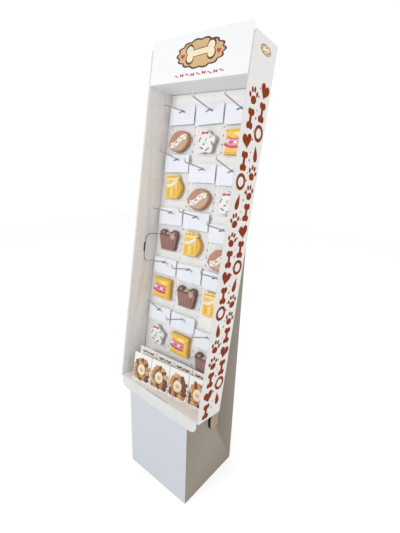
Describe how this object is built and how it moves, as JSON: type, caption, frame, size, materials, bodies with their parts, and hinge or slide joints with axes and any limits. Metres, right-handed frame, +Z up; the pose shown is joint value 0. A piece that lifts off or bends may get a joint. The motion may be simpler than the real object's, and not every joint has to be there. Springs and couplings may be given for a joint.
{
  "type": "display shipper",
  "caption": "Free-standing corrugated floor display: a pedestal with a riser carries a leaning tray with a header card and a peg panel with hooks, stocked with carded cookie packs and pouches",
  "frame": {"origin": "centre of the base's underside, on the floor", "axes": "+Z up, +Y to the back of the display, +X to the right of a shopper facing it"},
  "size_m": [0.36, 0.2643, 1.4145],
  "materials": {
    "white_board": "white-faced board",
    "white_card": "coated card",
    "wire": "zinc-plated wire",
    "clear_film": "clear film",
    "cookie": "baked and iced",
    "pouch_film": "printed film"
  },
  "bodies": {
    "root": {"base_box": "white_board", "tray": "white_board", "header_card": "white_card", "peg_panel": "white_board", "hooks_left": "wire", "hooks_middle": "wire", "hooks_right": "wire", "hang_card_11": "white_card", "treat_bag_11": "clear_film", "cookie_11": "cookie", "hang_card_12": "white_card", "treat_bag_12": "clear_film", "cookie_12": "cookie", "hang_card_13": "white_card", "treat_bag_13": "clear_film", "cookie_13": "cookie", "hang_card_21": "white_card", "treat_bag_21": "clear_film", "cookie_21": "cookie", "hang_card_22": "white_card", "treat_bag_22": "clear_film", "cookie_22": "cookie", "hang_card_23": "white_card", "treat_bag_23": "clear_film", "cookie_23": "cookie", "hang_card_31": "white_card", "treat_bag_31": "clear_film", "cookie_31": "cookie", "hang_card_32": "white_card", "treat_bag_32": "clear_film", "cookie_32": "cookie", "hang_card_33": "white_card", "treat_bag_33": "clear_film", "cookie_33": "cookie", "hang_card_41": "white_card", "treat_bag_41": "clear_film", "cookie_41": "cookie", "hang_card_42": "white_card", "treat_bag_42": "clear_film", "cookie_42": "cookie", "hang_card_43": "white_card", "treat_bag_43": "clear_film", "cookie_43": "cookie", "hang_card_51": "white_card", "treat_bag_51": "clear_film", "cookie_51": "cookie", "hang_card_52": "white_card", "treat_bag_52": "clear_film", "cookie_52": "cookie", "hang_card_53": "white_card", "treat_bag_53": "clear_film", "cookie_53": "cookie", "pouch_front_1": "pouch_film", "pouch_front_2": "pouch_film", "pouch_front_3": "pouch_film", "pouch_front_4": "pouch_film", "pouch_rear_1": "pouch_film", "pouch_rear_2": "pouch_film", "pouch_rear_3": "pouch_film", "pouch_rear_4": "pouch_film"}
  },
  "joints": []
}
